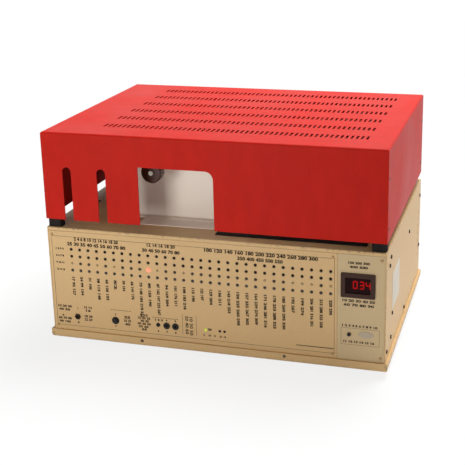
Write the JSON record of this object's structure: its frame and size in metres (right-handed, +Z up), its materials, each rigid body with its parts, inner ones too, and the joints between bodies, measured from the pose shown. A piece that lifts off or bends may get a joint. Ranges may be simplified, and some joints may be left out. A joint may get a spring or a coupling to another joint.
{
  "type": "gas chromatograph",
  "caption": "Bench gas chromatograph: steel chassis with a button-and-display control face, sunk column oven with a lid, and a vented cover hinged at the rear.",
  "frame": {"origin": "centre of the footprint, on the surface that the feet stand on", "axes": "+Z up, -Y out of the control face, +X to the right of someone facing it"},
  "size_m": [0.4952, 0.3796, 0.3175],
  "materials": {
    "beige": "satin baked enamel, beige",
    "red": "textured powder coat, bright red",
    "rubber": "matt black rubber",
    "black_plastic": "fine-grained black moulded plastic",
    "rocker_plastic": "gloss dark red plastic",
    "window": "clear dark red filter",
    "digit_light": "lit red segments",
    "board_laminate": "green solder mask",
    "led_clear": "unlit tinted lens",
    "led_orange": "lit orange-red lens",
    "led_green": "lit yellow-green lens",
    "trimpot_plastic": "dark blue-grey moulding",
    "nickel": "bright nickel and stainless steel",
    "zinc_steel": "zinc-plated steel",
    "aluminium": "plain aluminium",
    "brass": "machined brass",
    "oven_paint": "off-white enamel",
    "oven_steel": "brushed stainless sheet",
    "insulation": "ceramic fibre board",
    "heater_wire": "oxidised heating element",
    "column_tube": "polyimide-coated column"
  },
  "bodies": {
    "chassis": {"base_tray": "beige", "left_side_panel": "beige", "right_side_panel": "beige", "rear_panel": "beige", "deck_plate": "beige", "front_frame": "beige", "front_panel": "beige", "display_panel": "beige", "rubber_feet": "rubber", "rubber_bumpers": "rubber", "display_bezel": "black_plastic", "panel_sockets": "black_plastic", "power_inlet": "black_plastic", "power_switch_body": "black_plastic", "septum_nut": "black_plastic", "solenoid_valves": "black_plastic", "display_window": "window", "display_digits": "digit_light", "control_board": "board_laminate", "main_board": "board_laminate", "status_leds": "led_clear", "lit_status_led": "led_orange", "indicator_led": "led_green", "adjust_trimpots": "trimpot_plastic", "toggle_body": "nickel", "case_screws": "nickel", "gas_tubes": "nickel", "column_cage": "nickel", "injector_body": "nickel", "detector_body": "nickel", "fan_motor": "zinc_steel", "transformer": "zinc_steel", "fan_guard": "zinc_steel", "hinge_leaves_lower": "zinc_steel", "gas_manifold": "aluminium", "electrometer_box": "aluminium", "gas_fittings": "brass", "oven_case": "oven_paint", "oven_liner": "oven_steel", "oven_insulation": "insulation", "heater_coil": "heater_wire", "column_coil": "column_tube"},
    "cover": {"cover_shell": "red", "cover_front": "red", "hinge_leaves_upper": "zinc_steel"},
    "oven_lid": {"oven_lid": "oven_paint", "lid_insulation": "insulation", "lid_knob": "black_plastic"},
    "fan": {"fan_shaft": "nickel", "fan_wheel": "aluminium"},
    "toggle": {"toggle_lever": "nickel"},
    "start_button": {"start_button": "black_plastic"},
    "select_button": {"select_button": "black_plastic"},
    "rocker": {"power_rocker": "rocker_plastic"},
    "gas_buttons_upper": {"gas_buttons_upper": "black_plastic"},
    "gas_buttons_lower": {"gas_buttons_lower": "black_plastic"},
    "detector_buttons_upper": {"detector_buttons_upper": "black_plastic"},
    "detector_buttons_lower": {"detector_buttons_lower": "black_plastic"},
    "heater_buttons_upper": {"heater_buttons_upper": "black_plastic"},
    "heater_buttons_lower": {"heater_buttons_lower": "black_plastic"}
  },
  "joints": [
    {"name": "cover_hinge", "type": "hinge", "parent": "chassis", "child": "cover", "pos_m": [0, 0.17578, 0.18425], "axis": [-1, 0, 0], "range_deg": [0, 95]},
    {"name": "lid_hinge", "type": "hinge", "parent": "chassis", "child": "oven_lid", "pos_m": [0, 0.14678, 0.288], "axis": [-1, 0, 0], "range_deg": [0, 67]},
    {"name": "fan_spin", "type": "hinge", "parent": "chassis", "child": "fan", "pos_m": [0.03015, 0.01978, 0.1114], "axis": [0, 0, 1], "continuous": true},
    {"name": "toggle_throw", "type": "hinge", "parent": "chassis", "child": "toggle", "pos_m": [-0.20565, -0.18222, 0.0425], "axis": [-1, 0, 0], "range_deg": [0, 24]},
    {"name": "start_press", "type": "slide", "parent": "chassis", "child": "start_button", "axis": [0, 1, 0], "range_m": [0, 0.0015], "stiffness_N_per_m": 400},
    {"name": "select_press", "type": "slide", "parent": "chassis", "child": "select_button", "axis": [0, 1, 0], "range_m": [0, 0.0015], "stiffness_N_per_m": 400},
    {"name": "rocker_throw", "type": "hinge", "parent": "chassis", "child": "rocker", "pos_m": [0.13215, 0.16878, 0.048], "axis": [-1, 0, 0], "range_deg": [0, 16]},
    {"name": "gas_press_upper", "type": "slide", "parent": "chassis", "child": "gas_buttons_upper", "axis": [0, 1, 0], "range_m": [0, 0.0008], "stiffness_N_per_m": 1200},
    {"name": "gas_press_lower", "type": "slide", "parent": "chassis", "child": "gas_buttons_lower", "axis": [0, 1, 0], "range_m": [0, 0.0008], "stiffness_N_per_m": 1200},
    {"name": "detector_press_upper", "type": "slide", "parent": "chassis", "child": "detector_buttons_upper", "axis": [0, 1, 0], "range_m": [0, 0.0008], "stiffness_N_per_m": 1200},
    {"name": "detector_press_lower", "type": "slide", "parent": "chassis", "child": "detector_buttons_lower", "axis": [0, 1, 0], "range_m": [0, 0.0008], "stiffness_N_per_m": 1200},
    {"name": "heater_press_upper", "type": "slide", "parent": "chassis", "child": "heater_buttons_upper", "axis": [0, 1, 0], "range_m": [0, 0.0008], "stiffness_N_per_m": 1200},
    {"name": "heater_press_lower", "type": "slide", "parent": "chassis", "child": "heater_buttons_lower", "axis": [0, 1, 0], "range_m": [0, 0.0008], "stiffness_N_per_m": 1200}
  ],
  "couplings": [
    {"joint": "lid_hinge", "follows": "cover_hinge", "ratio": 0.7}
  ]
}
